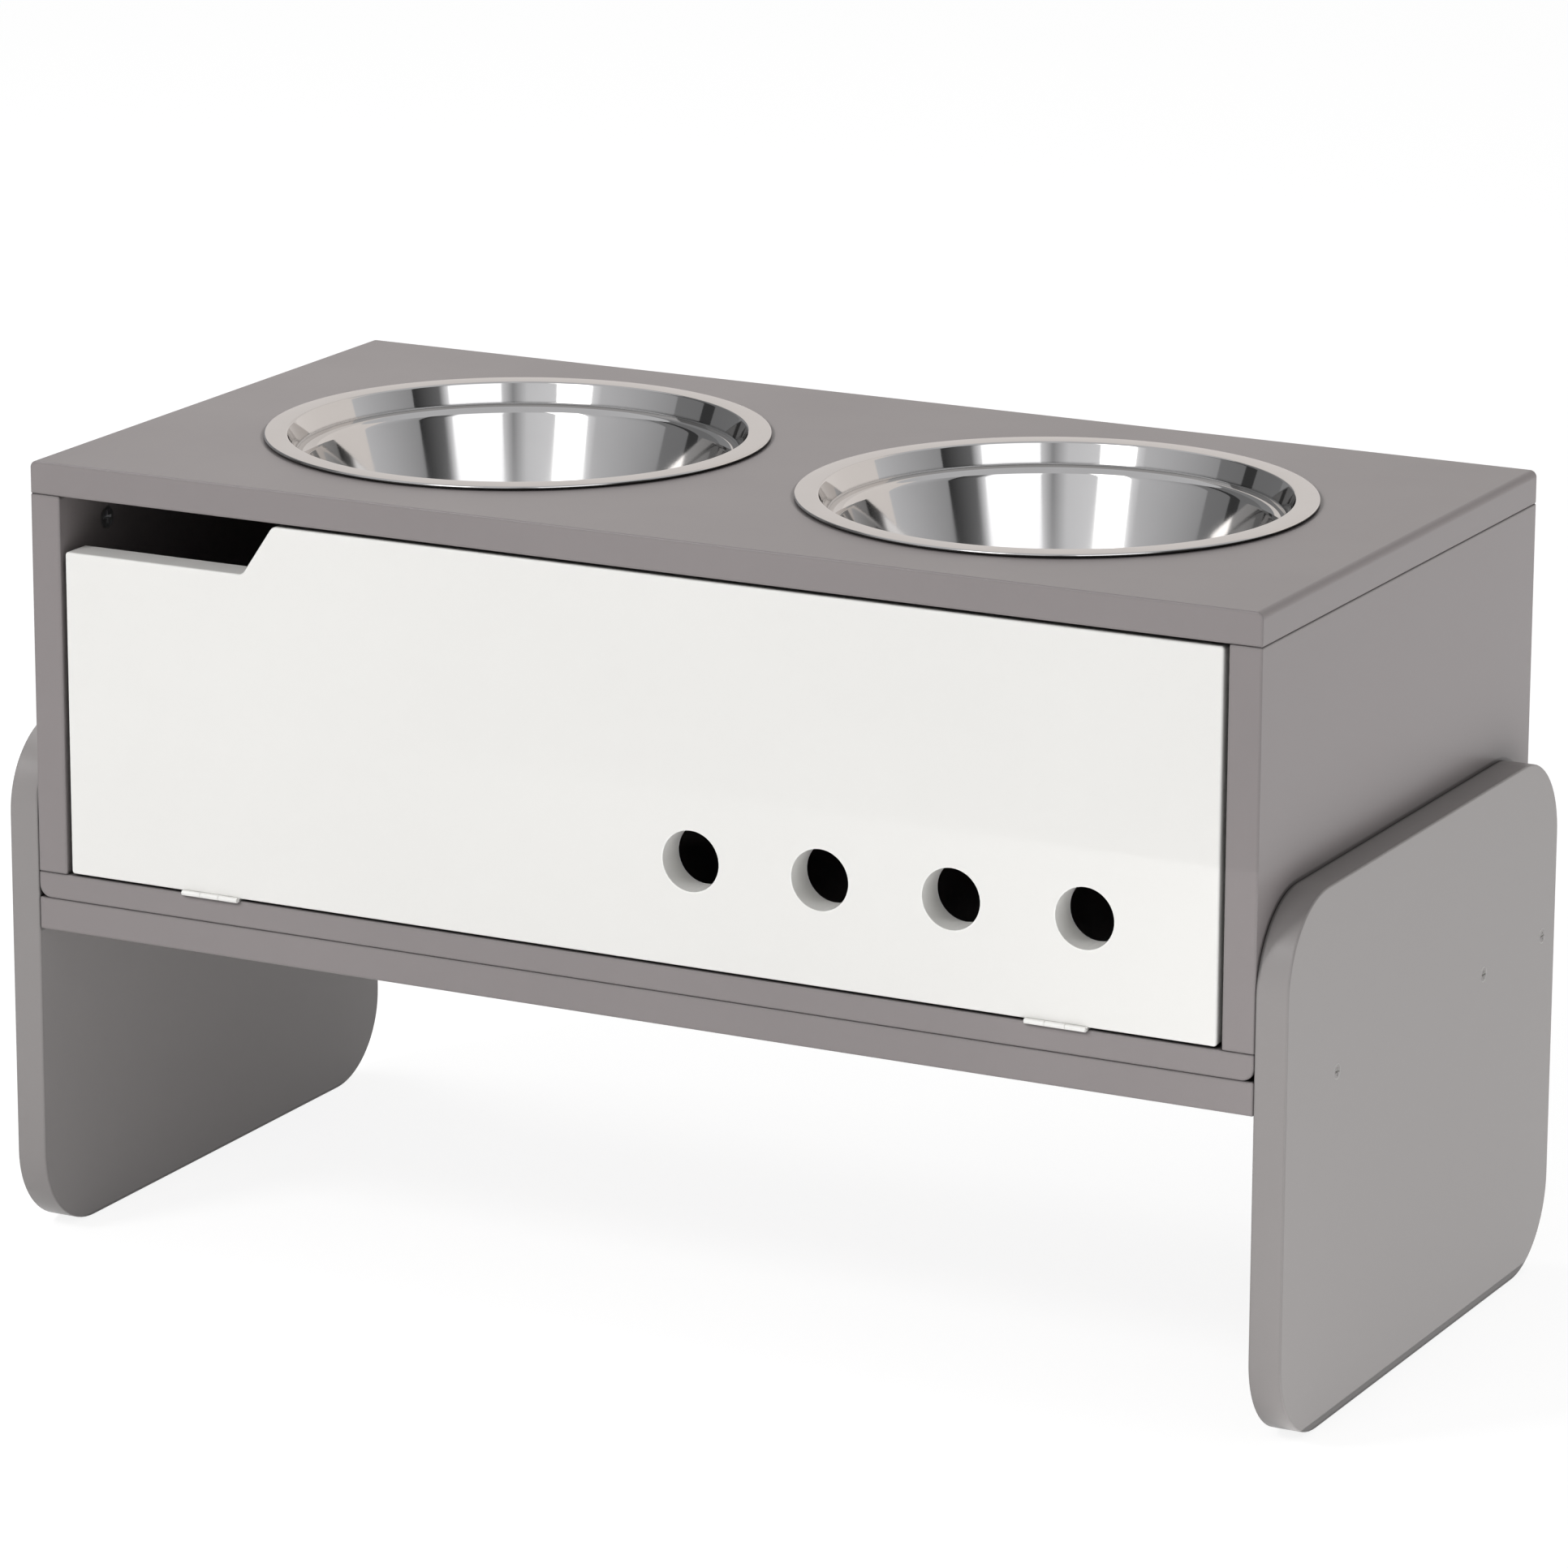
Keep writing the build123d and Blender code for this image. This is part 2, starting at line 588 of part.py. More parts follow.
def catch_housing():
    """A moulded block with an ear at each end, screwed up under the top panel."""
    y_limits = (CATCH_FRONT, CATCH_FRONT + CATCH_DEPTH)
    half = CATCH_LENGTH / 2
    ear_end = half + CATCH_EAR_LENGTH
    ears_bottom = TOP_BOTTOM - CATCH_EAR_THICKNESS
    housing = block((-half, half), y_limits, (TOP_BOTTOM - CATCH_HEIGHT, TOP_BOTTOM))
    housing += block((-ear_end, ear_end), y_limits, (ears_bottom, TOP_BOTTOM))
    low, high = magnet_levels()
    pocket_y = (CATCH_FRONT, CATCH_FRONT + MAGNET_DEPTH)
    pocket_z = (low - POLE_THICKNESS, high + POLE_THICKNESS)
    housing -= block(magnet_x(), pocket_y, pocket_z)
    return housing - [plane * catch_screw_blank() for plane in catch_screw_planes()]


def strike_plate():
    outline = RectangleRounded(STRIKE_LENGTH, STRIKE_HEIGHT, STRIKE_CORNER)
    return strike_plane() * (extrude(outline, STRIKE_THICKNESS) - strike_screw_blank())


# --- Bowls --------------------------------------------------------------------------------
def bowl_outline(offset):
    """Half the section of what a bowl holds; with the sheet as offset, of its outer side."""
    throat = BOWL_THROAT_RADIUS + offset
    band_foot_radius = throat - BOWL_BAND_TAPER
    wall_radius = band_foot_radius - BOWL_STEP_IN
    band_foot = RIM_TOP - BOWL_BAND_DROP
    base = RIM_TOP - BOWL_DEPTH - offset
    flange_level = RIM_TOP - offset
    face = FilletPolyline(
        (0, base),
        (wall_radius - BOWL_WALL_TAPER, base),
        (wall_radius, band_foot - BOWL_STEP_DROP),
        (band_foot_radius, band_foot),
        (throat, flange_level),
        (BOWL_HEM_INNER, flange_level),
        radius=(
            BOWL_BASE_ROUND + offset,
            BOWL_STEP_ROUND - offset,
            BOWL_BEND + offset,
            BOWL_BEND - offset,
        ),
    )
    lid = RIM_TOP + BOWL_SHEET
    closing = Polyline((BOWL_HEM_INNER, flange_level), (BOWL_HEM_INNER, lid), (0, lid), (0, base))
    return make_face(face + closing)


def bowl(side):
    """A pressed bowl of even sheet, its rim folded under into a rounded hem."""
    sheet = bowl_outline(BOWL_SHEET) - bowl_outline(0.0)
    hem_middle = (BOWL_HEM_INNER + BOWL_HEM_WIDTH / 2, RIM_TOP - BOWL_HEM_THICKNESS / 2)
    hem = Pos(*hem_middle) * SlotOverall(BOWL_HEM_WIDTH, BOWL_HEM_THICKNESS)
    overlap = BOWL_HEM_THICKNESS / 2
    join = Pos(BOWL_HEM_INNER, RIM_TOP) * Rectangle(
        overlap, BOWL_SHEET, align=(Align.MIN, Align.MAX)
    )
    return Pos(side * BOWL_X, 0, 0) * revolve(Plane.XZ * (sheet + join + hem), Axis.Z)


# --- All pieces ---------------------------------------------------------------------------
PIECES = {
    "top_panel": top_panel(),
    "side_panel_left": side_panel(LEFT),
    "side_panel_right": side_panel(RIGHT),
    "cabinet_floor": cabinet_floor(),
    "back_panel": back_panel(),
    "base_board": base_board(),
    "leg_left": leg(LEFT),
    "leg_right": leg(RIGHT),
    "leg_screws": leg_screws(),
    "base_screws": base_screws(),
    "cam_locks": [cam_lock(*place) for place in corner_joints(CAM_INSET)],
    "cam_bolts": [cam_bolt(*place) for place in corner_joints(CAM_INSET)],
    "dowels": [dowel(*place) for place in corner_joints(DOWEL_INSET)],
    "hinge_left_floor_leaf": floor_leaf(LEFT),
    "hinge_right_floor_leaf": floor_leaf(RIGHT),
    "hinge_left_door_leaf": door_leaf(LEFT),
    "hinge_right_door_leaf": door_leaf(RIGHT),
    "hinge_left_pin": hinge_pin(LEFT),
    "hinge_right_pin": hinge_pin(RIGHT),
    "hinge_floor_screws": hinge_screws(floor_leaf_levels()[1], DOWN),
    "hinge_door_screws": hinge_screws(door_leaf_levels()[0], UP),
    "catch_housing": catch_housing(),
    "catch_magnet": catch_magnet(),
    "catch_pole_plates": pole_plates(),
    "catch_screws": catch_screws(),
    "door_panel": door_panel(),
    "strike_plate": strike_plate(),
    "strike_screw": strike_screw(),
    "bowl_left": bowl(LEFT),
    "bowl_right": bowl(RIGHT),
}

os.makedirs("parts", exist_ok=True)
for name, piece in PIECES.items():
    shape = Compound(children=piece) if isinstance(piece, list) else piece
    export_step(shape, f"parts/{name}.step")
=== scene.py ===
"""Finish, light and camera for a raised dog feeder with a drop-front cupboard and two lift-out bowls.

Lengths are in metres: +X to the feeder's right, -Y to its front, +Z up from the floor at Z = 0.
"""
import math
import bmesh
import bpy
from mathutils import Matrix, Vector


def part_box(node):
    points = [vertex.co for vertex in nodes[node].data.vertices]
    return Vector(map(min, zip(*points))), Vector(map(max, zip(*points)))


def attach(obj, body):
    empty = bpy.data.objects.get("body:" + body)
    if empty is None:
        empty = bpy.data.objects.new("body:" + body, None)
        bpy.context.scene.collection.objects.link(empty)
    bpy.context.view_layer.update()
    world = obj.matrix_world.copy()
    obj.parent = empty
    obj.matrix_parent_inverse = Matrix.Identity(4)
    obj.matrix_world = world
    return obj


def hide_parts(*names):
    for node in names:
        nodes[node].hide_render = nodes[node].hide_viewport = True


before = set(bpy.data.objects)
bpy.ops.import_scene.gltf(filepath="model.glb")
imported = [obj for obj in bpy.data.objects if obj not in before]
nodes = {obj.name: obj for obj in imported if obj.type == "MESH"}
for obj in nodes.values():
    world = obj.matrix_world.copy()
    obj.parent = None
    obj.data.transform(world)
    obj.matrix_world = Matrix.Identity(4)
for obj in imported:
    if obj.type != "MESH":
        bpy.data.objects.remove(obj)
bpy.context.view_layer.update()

# ---------------------------------------------------------------- places and sizes
CAMERA_PLACE = (1.506233, -2.908674, 1.105168)
CAMERA_YAW = 27.3566            # degrees that it is turned to the left of straight back
CAMERA_PITCH = 15.1530          # degrees that it is tilted down
CAMERA_ROLL = 0.2052
CAMERA_LENS = 173.148           # focal length and sensor width in millimetres
CAMERA_SENSOR = 36.0
CAMERA_NEAR = 0.1
CAMERA_FAR = 100.0

RIM_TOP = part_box("bowl_left")[1][2]
RIM_RADIUS = (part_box("bowl_left")[1][0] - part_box("bowl_left")[0][0]) / 2
FLANGE_WIDTH = 0.0106
HEM_WIDTH = 0.004               # sheet folded back under the flange's outer edge
HEM_THICKNESS = 0.0016
SHEET = 0.0007
BAND_DROP = 0.0096              # height of the tapered band under the flange
BAND_TAPER = 0.0036
STEP_DROP = 0.001               # fall of the stacking step under the band
STEP_IN = 0.0054
STEP_ROUND = 0.005
BOWL_DEPTH = 0.062
WALL_TAPER = 0.0165
BASE_ROUND = 0.014
BEND = 0.0012
BOWL_STEPS = 288                # turns of the section round a bowl
ROUND_STEPS = 10                # steps in each rounded corner of the section

PAINT_SHEEN = 0.27              # of a satin paint, where 0.5 is the usual gloss
BOARD_ARRIS_HIGHLIGHT_REACH = 0.0016        # how far the painted highlight on an arris reaches into a face
SEAM_REACH = 0.0018             # how far the painted shade along a joint reaches into a face
CREASE_REACH = 0.0002           # and that of the painted shade in an open gap, or in a crease in sheet metal
NIB_PALE = 1.02                 # how much paler or darker than its paint each mark on a board is; the pale arris is a painted highlight, the dark seam and gap painted shade
ARRIS_HIGHLIGHT = 1.2
SEAM_SHADE = 0.5
GAP_SHADE = 0.12
POLISH_DEPTH = 0.012            # how far down a bowl its brightest polish reaches

GREY = (141, 135, 135)          # paints as 0-255 values
LEG_GREY = (146, 142, 141)
WHITE = (237, 236, 233)
HINGE_WHITE = (240, 239, 236)
CATCH_WHITE = (232, 230, 224)
MAGNET_GREY = (58, 57, 56)
# a painted highlight in the cross of the leg screws
SCREW_CROSS_HIGHLIGHT = (226, 225, 222)
BEECH_DARK = (166, 122, 82)
BEECH_TONED = (204, 160, 116)
BEECH_PALE = (226, 192, 148)
STEEL_SMEARED = (0.54, 0.525, 0.51, 1.0)    # metals as linear colours
STEEL_CLEAN = (0.60, 0.585, 0.57, 1.0)
# painted shade for the tight creases of the bowls
STEEL_CREASE_SHADE = (0.16, 0.155, 0.15, 1.0)
NICKEL = (0.72, 0.70, 0.67, 1.0)
ZINC_PLATE = (0.60, 0.61, 0.62, 1.0)
CAST_ZINC = (0.50, 0.50, 0.50, 1.0)

FLOOR_SIZE = 24.0
FLOOR_AS_LIGHT = (0.86, 0.86, 0.86, 1.0)    # the floor's colour for light that falls on the feeder
FLOOR_AS_SEEN = (0.26, 0.26, 0.26, 1.0)     # and, with the glow, where it is seen
FLOOR_GLOW = 0.86
PLAIN_WHITE = (1.0, 1.0, 1.0, 1.0)

ROOM_LIGHT = 0.427
LAMP_TARGET = (0.0, 0.0, 0.2)
FRONT_WINDOW_POWER = 13.6
KEY_POWER = 16.4
LEFT_BOX_POWER = 18.0
RIGHT_BOUNCE_POWER = 24.5
FRONT_BOUNCE_POWER = 0.75
BOUNCE_LEVEL = 0.004            # how high a bounce lamp lies over the floor

CARD_RADIUS = 3.0               # the ring of studio cards round the feeder
CARD_TOP = 3.3
CARD_FOOT = 0.02
CARD_PANEL = 6.0                # degrees that one flat panel of a curved card takes
WARM = (1.0, 0.95, 0.925)       # tints that a card's tone is multiplied by
COOL = (0.99, 1.01, 1.05)
CEILING_TONE = 0.7
BACK_CARDS = (                  # name, from and to in degrees of azimuth, and the tone at each end
    ("back_card_left", -180, -140, 0.86, 0.81),
    ("back_card_right", 128, 180, 0.96, 0.98),
)
SIDE_CARDS = (
    ("grey_curtain_left", -140, -118, 0.3, 0.3),
    ("dark_flat_left", -118, -92, 0.22, 0.22),
    ("dark_gap_left", -92, -83, 0.055, 0.055),
    ("grey_flat_left", -83, -65, 0.24, 0.26),
    ("long_grey_flat", -65, -20, 0.43, 0.73),
    ("window_jamb_left", -20, -15, 0.8, 1.1),
    ("front_window_card", -15, 4.5, 1.9, 1.9),
    ("front_flat", 4.5, 22, 0.98, 0.88),
    ("recess_near", 22, 30, 0.86, 0.38),
    ("recess_far", 30, 36.5, 0.4, 1.0),
    ("right_window_card", 36.5, 67.5, 1.9, 1.9),
    ("window_jamb_right", 67.5, 73, 1.2, 0.2),
    ("dark_flag_right", 73, 89, 0.2, 0.04),
    ("grey_flat_right", 89, 128, 0.42, 0.74),
)


# ---------------------------------------------------------------- small helpers
def linear(paint):
    """A paint written as 0-255 values of red, green and blue, as a shader's linear colour."""
    def channel(value):
        value /= 255
        return value / 12.92 if value <= 0.04045 else ((value + 0.055) / 1.055) ** 2.4
    return tuple(channel(value) for value in paint) + (1.0,)


def shade(colour, factor):
    """The same linear colour made lighter or darker."""
    return tuple(min(1.0, part * factor) for part in colour[:3]) + (1.0,)


def add_node(tree, kind, values=None, **settings):
    """A shader node with its settings and the values of its unlinked inputs."""
    made = tree.nodes.new(kind)
    for name, value in settings.items():
        setattr(made, name, value)
    for name, value in (values or {}).items():
        made.inputs[name].default_value = value
    return made


def new_material(name):
    """An empty material with its surface shader, and the tree they are in."""
    material = bpy.data.materials.new(name)
    material.use_nodes = True
    tree = material.node_tree
    return material, tree, tree.nodes["Principled BSDF"]


def new_group(name, inputs, outputs):
    """A node group with named number inputs and outputs, and its two end nodes."""
    group = bpy.data.node_groups.new(name, "ShaderNodeTree")
    for label, value in inputs.items():
        socket = group.interface.new_socket(label, in_out="INPUT", socket_type="NodeSocketFloat")
        socket.default_value = value
    for label in outputs:
        group.interface.new_socket(label, in_out="OUTPUT", socket_type="NodeSocketFloat")
    return group, group.nodes.new("NodeGroupInput"), group.nodes.new("NodeGroupOutput")


def place_group(tree, group, **values):
    """One use of a node group in a material, with its own values."""
    used = tree.nodes.new("ShaderNodeGroup")
    used.node_tree = group
    for name, value in values.items():
        used.inputs[name.replace("_", " ")].default_value = value
    return used


# ---------------------------------------------------------------- effects shared by the finishes
def make_mottle():
    """Slow drift in a finish, from 0 to 1 about a middle of 0.5."""
    group, given, result = new_group("mottle", {"Patches per metre": 12.0, "Detail": 4.0}, ["Drift"])
    link = group.links.new
    place = add_node(group, "ShaderNodeTexCoord")
    noise = add_node(group, "ShaderNodeTexNoise", {"Roughness": 0.55})
    spread = add_node(group, "ShaderNodeMapRange", {"From Min": 0.3, "From Max": 0.7})
    link(place.outputs["Object"], noise.inputs["Vector"])
    link(given.outputs["Patches per metre"], noise.inputs["Scale"])
    link(given.outputs["Detail"], noise.inputs["Detail"])
    link(noise.outputs["Fac"], spread.inputs["Value"])
    link(spread.outputs["Result"], result.inputs["Drift"])
    return group


def make_paint_skin():
    """The orange peel of a rolled or sprayed coat, with the odd nib of dust caught in it."""
    group, given, result = new_group(
        "paint skin", {"Peel per metre": 900.0, "Nibs per metre": 160.0}, ["Height", "Nibs"])
    link = group.links.new
    place = add_node(group, "ShaderNodeTexCoord")
    peel = add_node(group, "ShaderNodeTexNoise", {"Detail": 2.0, "Roughness": 0.45})
    nibs = add_node(group, "ShaderNodeTexVoronoi", feature="F1")
    speck = add_node(
        group, "ShaderNodeMapRange", {"From Min": 0.0, "From Max": 0.09, "To Min": 1.0, "To Max": 0.0})
    raised = add_node(group, "ShaderNodeMath", {1: 0.6}, operation="MULTIPLY_ADD")
    for texture, label in ((peel, "Peel per metre"), (nibs, "Nibs per metre")):
        link(place.outputs["Object"], texture.inputs["Vector"])
        link(given.outputs[label], texture.inputs["Scale"])
    link(nibs.outputs["Distance"], speck.inputs["Value"])
    link(speck.outputs["Result"], raised.inputs[0])
    link(peel.outputs["Fac"], raised.inputs[2])
    link(raised.outputs["Value"], result.inputs["Height"])
    link(speck.outputs["Result"], result.inputs["Nibs"])
    return group


def make_edge_wear_and_highlight():
    """A mask that is 1 on the crest of an edge, for rubbed wear and for a painted highlight, and 0 on the
    faces, broken up by noise.
    """
    group, given, result = new_group(
        "edge wear and highlight", {"Reach": BOARD_ARRIS_HIGHLIGHT_REACH, "Breaks per metre": 140.0, "Amount": 0.5}, ["Mask"])
    link = group.links.new
    shape = add_node(group, "ShaderNodeNewGeometry")
    soft = add_node(group, "ShaderNodeBevel", samples=4)
    turn = add_node(group, "ShaderNodeVectorMath", operation="DOT_PRODUCT")
    crest = add_node(
        group, "ShaderNodeMapRange", {"From Min": 0.995, "From Max": 0.86, "To Min": 0.0, "To Max": 1.0})
    place = add_node(group, "ShaderNodeTexCoord")
    noise = add_node(group, "ShaderNodeTexNoise", {"Detail": 5.0, "Roughness": 0.6})
    broken = add_node(group, "ShaderNodeMapRange", {"From Min": 0.35, "From Max": 0.65})
    worn_and_highlit = add_node(group, "ShaderNodeMath", operation="MULTIPLY")
    mask = add_node(group, "ShaderNodeMath", operation="MULTIPLY")
    link(given.outputs["Reach"], soft.inputs["Radius"])
    link(soft.outputs["Normal"], turn.inputs[0])
    link(shape.outputs["Normal"], turn.inputs[1])
    link(turn.outputs["Value"], crest.inputs["Value"])
    link(place.outputs["Object"], noise.inputs["Vector"])
    link(given.outputs["Breaks per metre"], noise.inputs["Scale"])
    link(noise.outputs["Fac"], broken.inputs["Value"])
    link(crest.outputs["Result"], worn_and_highlit.inputs[0])
    link(broken.outputs["Result"], worn_and_highlit.inputs[1])
    link(worn_and_highlit.outputs["Value"], mask.inputs[0])
    link(given.outputs["Amount"], mask.inputs[1])
    link(mask.outputs["Value"], result.inputs["Mask"])
    return group


def make_shade_mask():
    """A mask that is 1 where shade falls in a gap or along the arris of a joint, and 0 on open faces and
    free arrises; it places painted shade, and a painted highlight in a screw's cross.
    """
    group, given, result = new_group(
        "shade mask", {"Reach": 0.0013, "Gap": 0.006, "Open": 0.6, "Shut": 0.2, "Amount": 1.0}, ["Mask"])
    link = group.links.new
    soft = add_node(group, "ShaderNodeBevel", samples=4)
    closeness = add_node(group, "ShaderNodeAmbientOcclusion", samples=8)
    deep = add_node(
        group, "ShaderNodeMapRange", {"To Min": 0.0, "To Max": 1.0}, interpolation_type="SMOOTHSTEP")
    mask = add_node(group, "ShaderNodeMath", operation="MULTIPLY")
    link(given.outputs["Reach"], soft.inputs["Radius"])
    link(soft.outputs["Normal"], closeness.inputs["Normal"])
    link(given.outputs["Gap"], closeness.inputs["Distance"])
    link(closeness.outputs["AO"], deep.inputs["Value"])
    link(given.outputs["Open"], deep.inputs["From Min"])
    link(given.outputs["Shut"], deep.inputs["From Max"])
    link(deep.outputs["Result"], mask.inputs[0])
    link(given.outputs["Amount"], mask.inputs[1])
    link(mask.outputs["Value"], result.inputs["Mask"])
    return group


def make_long_grain():
    """Streaks that run along X, Y or Z, whichever is stretched, from 0 to 1."""
    group, given, result = new_group(
        "long grain", {"Stretch X": 1.0, "Stretch Y": 1.0, "Stretch Z": 1.0, "Streaks per metre": 400.0},
        ["Streak"])
    link = group.links.new
    place = add_node(group, "ShaderNodeTexCoord")
    sizes = add_node(group, "ShaderNodeCombineXYZ")
    squeezed = add_node(group, "ShaderNodeVectorMath", operation="MULTIPLY")
    noise = add_node(group, "ShaderNodeTexNoise", {"Detail": 6.0, "Roughness": 0.6})
    for axis in "XYZ":
        link(given.outputs[f"Stretch {axis}"], sizes.inputs[axis])
    link(place.outputs["Object"], squeezed.inputs[0])
    link(sizes.outputs["Vector"], squeezed.inputs[1])
    link(squeezed.outputs["Vector"], noise.inputs["Vector"])
    link(given.outputs["Streaks per metre"], noise.inputs["Scale"])
    link(noise.outputs["Fac"], result.inputs["Streak"])
    return group


def make_lathe_rings():
    """Polishing rings about a piece's own upright axis, slow smears, and a polish that dulls downwards."""
    group, given, result = new_group(
        "lathe rings",
        {"Rings per metre": 2600.0, "Smears per metre": 26.0,
         "Polished to": RIM_TOP - POLISH_DEPTH, "Dull at": RIM_TOP - BOWL_DEPTH},
        ["Height", "Smear", "Dullness"])
    link = group.links.new
    place = add_node(group, "ShaderNodeTexCoord")
    parts = add_node(group, "ShaderNodeSeparateXYZ")
    flat = add_node(group, "ShaderNodeCombineXYZ")
    radius = add_node(group, "ShaderNodeVectorMath", operation="LENGTH")
    along = add_node(group, "ShaderNodeCombineXYZ")
    rings = add_node(group, "ShaderNodeTexNoise", {"Detail": 3.0, "Roughness": 0.5})
    smear = add_node(group, "ShaderNodeTexNoise", {"Detail": 4.0, "Roughness": 0.6})
    dull = add_node(group, "ShaderNodeMapRange")
    link(place.outputs["Object"], parts.inputs["Vector"])
    link(parts.outputs["X"], flat.inputs["X"])
    link(parts.outputs["Y"], flat.inputs["Y"])
    link(flat.outputs["Vector"], radius.inputs[0])
    link(radius.outputs["Value"], along.inputs["X"])
    link(parts.outputs["Z"], along.inputs["Y"])
    link(along.outputs["Vector"], rings.inputs["Vector"])
    link(given.outputs["Rings per metre"], rings.inputs["Scale"])
    link(place.outputs["Object"], smear.inputs["Vector"])
    link(given.outputs["Smears per metre"], smear.inputs["Scale"])
    link(parts.outputs["Z"], dull.inputs["Value"])
    link(given.outputs["Polished to"], dull.inputs["From Min"])
    link(given.outputs["Dull at"], dull.inputs["From Max"])
    link(rings.outputs["Fac"], result.inputs["Height"])
    link(smear.outputs["Fac"], result.inputs["Smear"])
    link(dull.outputs["Result"], result.inputs["Dullness"])
    return group


MOTTLE = make_mottle()
PAINT_SKIN = make_paint_skin()
EDGE_WEAR_AND_HIGHLIGHT = make_edge_wear_and_highlight()
SHADE_MASK = make_shade_mask()
LONG_GRAIN = make_long_grain()
LATHE_RINGS = make_lathe_rings()


def mix_colours(tree, factor, low, high):
    """A colour that runs from low to high; each may be a colour or the output of another node."""
    mixed = add_node(tree, "ShaderNodeMix", data_type="RGBA", clamp_factor=True)
    tree.links.new(factor, mixed.inputs["Factor"])
    for end, value in (("A", low), ("B", high)):
        socket = next(s for s in mixed.inputs if s.identifier == f"{end}_Color")
        if isinstance(value, bpy.types.NodeSocket):
            tree.links.new(value, socket)
        else:
            socket.default_value = value
    return next(s for s in mixed.outputs if s.identifier == "Result_Color")


def ranged(tree, factor, low, high):
    """A number that runs from low to high as factor runs from 0 to 1."""
    spread = add_node(tree, "ShaderNodeMapRange", {"To Min": low, "To Max": high})
    tree.links.new(factor, spread.inputs["Value"])
    return spread.outputs["Result"]


def bump(tree, height, distance, strength=1.0):
    """The normal of a surface raised by height times distance."""
    raised = add_node(tree, "ShaderNodeBump", {"Strength": strength, "Distance": distance})
    tree.links.new(height, raised.inputs["Height"])
    return raised.outputs["Normal"]


# ---------------------------------------------------------------- finishes
def painted_board(name, colour, roughness, peel, worn_and_highlit, uneven, seams):
    """Fibreboard under a satin coat: faint drift, orange peel, a painted highlight on its arrises, and
    painted shade along its joints and in its gaps.
    """
    material, tree, surface = new_material(name)
    link = tree.links.new
    drift = place_group(tree, MOTTLE, Patches_per_metre=9.0)
    skin = place_group(tree, PAINT_SKIN, Peel_per_metre=peel)
    # painted highlight along the arrises
    wear_and_highlight = place_group(tree, EDGE_WEAR_AND_HIGHLIGHT, Amount=worn_and_highlit)
    # painted shade along the joints and in the gaps
    seam = place_group(tree, SHADE_MASK, Reach=SEAM_REACH, Gap=0.002, Open=0.98, Shut=0.82, Amount=seams)
    gap = place_group(tree, SHADE_MASK, Reach=CREASE_REACH, Open=0.35, Shut=0.05)
    coat = mix_colours(tree, drift.outputs["Drift"], shade(colour, 1 - uneven), shade(colour, 1 + uneven))
    specked = mix_colours(tree, skin.outputs["Nibs"], coat, shade(colour, NIB_PALE))
    rubbed_and_highlit = mix_colours(tree, wear_and_highlight.outputs["Mask"], specked, shade(colour, ARRIS_HIGHLIGHT))
    seam_shaded = mix_colours(tree, seam.outputs["Mask"], rubbed_and_highlit, shade(colour, SEAM_SHADE))
    gap_shaded = mix_colours(tree, gap.outputs["Mask"], seam_shaded, shade(colour, GAP_SHADE))
    satin = ranged(tree, drift.outputs["Drift"], roughness - 0.03, roughness + 0.04)
    link(gap_shaded, surface.inputs["Base Color"])
    link(satin, surface.inputs["Roughness"])
    surface.inputs["Specular IOR Level"].default_value = PAINT_SHEEN
    link(bump(tree, skin.outputs["Height"], distance=0.00004, strength=0.5), surface.inputs["Normal"])
    return material


def thin_fibreboard(name, colour):
    """A thin hard back board: felted fibres under one coat of paint."""
    material, tree, surface = new_material(name)
    link = tree.links.new
    drift = place_group(tree, MOTTLE, Patches_per_metre=20.0, Detail=6.0)
    fibres = place_group(tree, LONG_GRAIN, Stretch_X=0.25, Streaks_per_metre=1400.0)
    felted = mix_colours(tree, fibres.outputs["Streak"], shade(colour, 0.86), shade(colour, 1.1))
    patches = ranged(tree, drift.outputs["Drift"], 0.0, 0.4)
    patched = mix_colours(tree, patches, felted, colour)
    link(patched, surface.inputs["Base Color"])
    link(ranged(tree, fibres.outputs["Streak"], 0.55, 0.75), surface.inputs["Roughness"])
    link(bump(tree, fibres.outputs["Streak"], distance=0.00012, strength=0.6), surface.inputs["Normal"])
    return material


def mirror_steel(name):
    """A pressed bowl polished on a lathe: a near mirror with rings, faint smears and painted shade in its
    creases.
    """
    material, tree, surface = new_material(name)
    link = tree.links.new
    rings = place_group(tree, LATHE_RINGS)
    tone = mix_colours(tree, rings.outputs["Smear"], STEEL_SMEARED, STEEL_CLEAN)
    # painted shade darkens the steel in its tight creases
    crease_shade = place_group(tree, SHADE_MASK, Reach=CREASE_REACH, Gap=0.0016, Open=0.96, Shut=0.84)
    crease_shaded = mix_colours(tree, crease_shade.outputs["Mask"], tone, STEEL_CREASE_SHADE)
    link(crease_shaded, surface.inputs["Base Color"])
    surface.inputs["Metallic"].default_value = 1.0
    link(ranged(tree, rings.outputs["Dullness"], 0.05, 0.16), surface.inputs["Roughness"])
    link(bump(tree, rings.outputs["Height"], distance=0.000006, strength=0.3), surface.inputs["Normal"])
    return material


